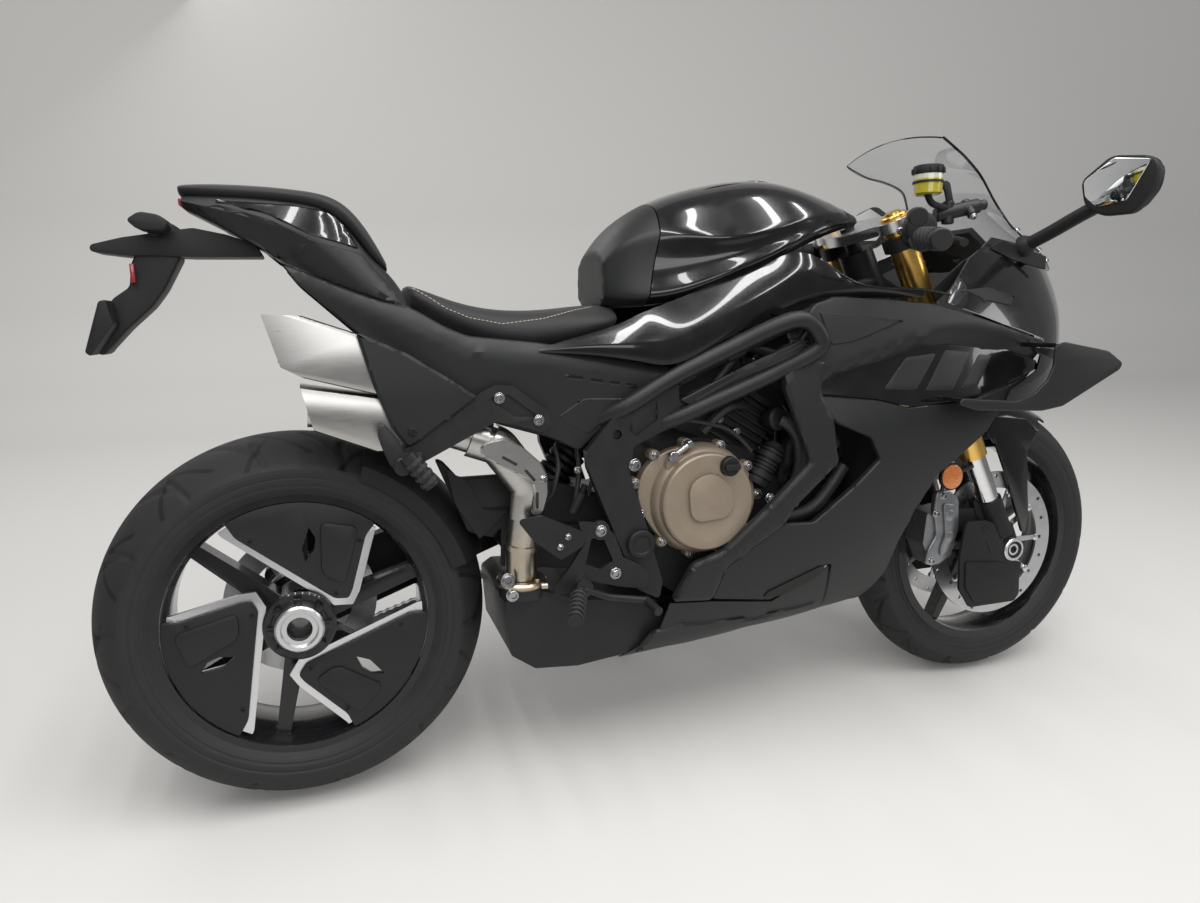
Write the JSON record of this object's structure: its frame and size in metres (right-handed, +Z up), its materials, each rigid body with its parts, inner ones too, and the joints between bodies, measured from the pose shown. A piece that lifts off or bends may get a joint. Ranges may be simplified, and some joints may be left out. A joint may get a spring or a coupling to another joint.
{
  "type": "sport bike",
  "caption": "Faired sport motorcycle on its side stand, with a wheel at each end, steering fork, clip-on bars, tail seat, stacked silencers and covered rear wheel.",
  "frame": {"origin": "on the floor under the middle of the bike's bounding box", "axes": "+X forward along the bike's length, +Y to the rider's left, +Z up; the bike leans 8 degrees towards +Y on its side stand"},
  "size_m": [2.042, 0.8532, 1.1391],
  "materials": {
    "bronze_cover": "bronze painted alloy",
    "caliper_grey": "grey anodised",
    "dark_alloy": "black anodised cast alloy",
    "disc_steel": "ground stainless steel",
    "exhaust_steel": "heat-tinted stainless steel",
    "fluid_amber": "amber fluid in a clear pot",
    "frame_black": "satin black powder coat",
    "gloss_black": "clear-coated gloss black",
    "gold_anodised": "gold anodised",
    "grip_rubber": "ribbed rubber",
    "hard_chrome": "hard chrome",
    "lamp_clear": "clear lens",
    "lamp_red": "red lens",
    "machined_alloy": "machined alloy",
    "matte_black": "matte black paint",
    "mirror_glass": "mirror",
    "muffler_steel": "brushed stainless steel",
    "reflector_orange": "prismatic amber",
    "satin_black": "satin black moulding",
    "seat_cover": "grained synthetic leather",
    "smoke_screen": "lightly smoked clear",
    "spring_dark": "black enamelled spring and damper",
    "tyre": "worn-in black rubber",
    "wheel_black": "gloss black enamel"
  },
  "bodies": {
    "chassis": {"belly_pan": "matte_black", "clutch_cover": "bronze_cover", "cockpit_panels": "satin_black", "drive_chain": "disc_steel", "engine": "dark_alloy", "fairing_arms": "matte_black", "footrests": "frame_black", "frame_tubes": "frame_black", "fuel_tank": "gloss_black", "headlamps": "lamp_clear", "hugger": "satin_black", "left_engine_covers": "bronze_cover", "link_pipe": "exhaust_steel", "mirror_glass": "mirror_glass", "mirrors": "satin_black", "muffler_cover": "satin_black", "mufflers": "muffler_steel", "nose_fairing": "gloss_black", "passenger_seat": "seat_cover", "pivot_plates": "frame_black", "plate_hanger": "satin_black", "radiator": "dark_alloy", "rear_shock": "spring_dark", "rider_seat": "seat_cover", "side_fairings": "matte_black", "silencer_box": "frame_black", "subframe": "frame_black", "swingarm": "frame_black", "swingarm_pivot": "dark_alloy", "tail_cowl": "gloss_black", "tail_lamp": "lamp_red", "tail_side_panels": "matte_black", "tank_covers": "matte_black", "tank_side_panels": "gloss_black", "windscreen": "smoke_screen", "winglets": "matte_black"},
    "rear_wheel": {"rear_tyre": "tyre", "rear_rim": "wheel_black", "rear_wheel_covers": "satin_black", "rear_disc": "disc_steel", "rear_sprocket": "disc_steel", "rear_spindle": "machined_alloy"},
    "front_wheel": {"front_tyre": "tyre", "front_rim": "wheel_black", "front_discs": "disc_steel"},
    "steering": {"fork_outer_tubes": "gold_anodised", "fork_stanchions": "hard_chrome", "fork_feet": "dark_alloy", "front_axle": "machined_alloy", "top_yoke": "machined_alloy", "lower_yoke_stem": "dark_alloy", "bar_controls": "dark_alloy", "clip_ons": "dark_alloy", "grips": "grip_rubber", "brake_reservoir": "fluid_amber", "front_fender": "gloss_black", "front_calipers": "caliper_grey", "brake_ducts": "satin_black", "round_reflectors": "reflector_orange"},
    "side_stand": {"side_stand": "frame_black"}
  },
  "joints": [
    {"name": "steering", "type": "hinge", "parent": "chassis", "child": "steering", "pos_m": [0.43463, -0.02031, 0.84276], "axis": [-0.4147, 0.1266, 0.9011], "range_deg": [-27, 27]},
    {"name": "front_wheel_spin", "type": "hinge", "parent": "steering", "child": "front_wheel", "pos_m": [0.721, -0.09686, 0.29811], "axis": [0, 0.9903, -0.1392], "continuous": true},
    {"name": "rear_wheel_spin", "type": "hinge", "parent": "chassis", "child": "rear_wheel", "pos_m": [-0.706, -0.09477, 0.31297], "axis": [0, 0.9903, -0.1392], "continuous": true},
    {"name": "side_stand_fold", "type": "hinge", "parent": "chassis", "child": "side_stand", "pos_m": [-0.094, 0.06199, 0.22126], "axis": [-0.2362, 0.9717, 0.011], "range_deg": [0, 97]}
  ]
}
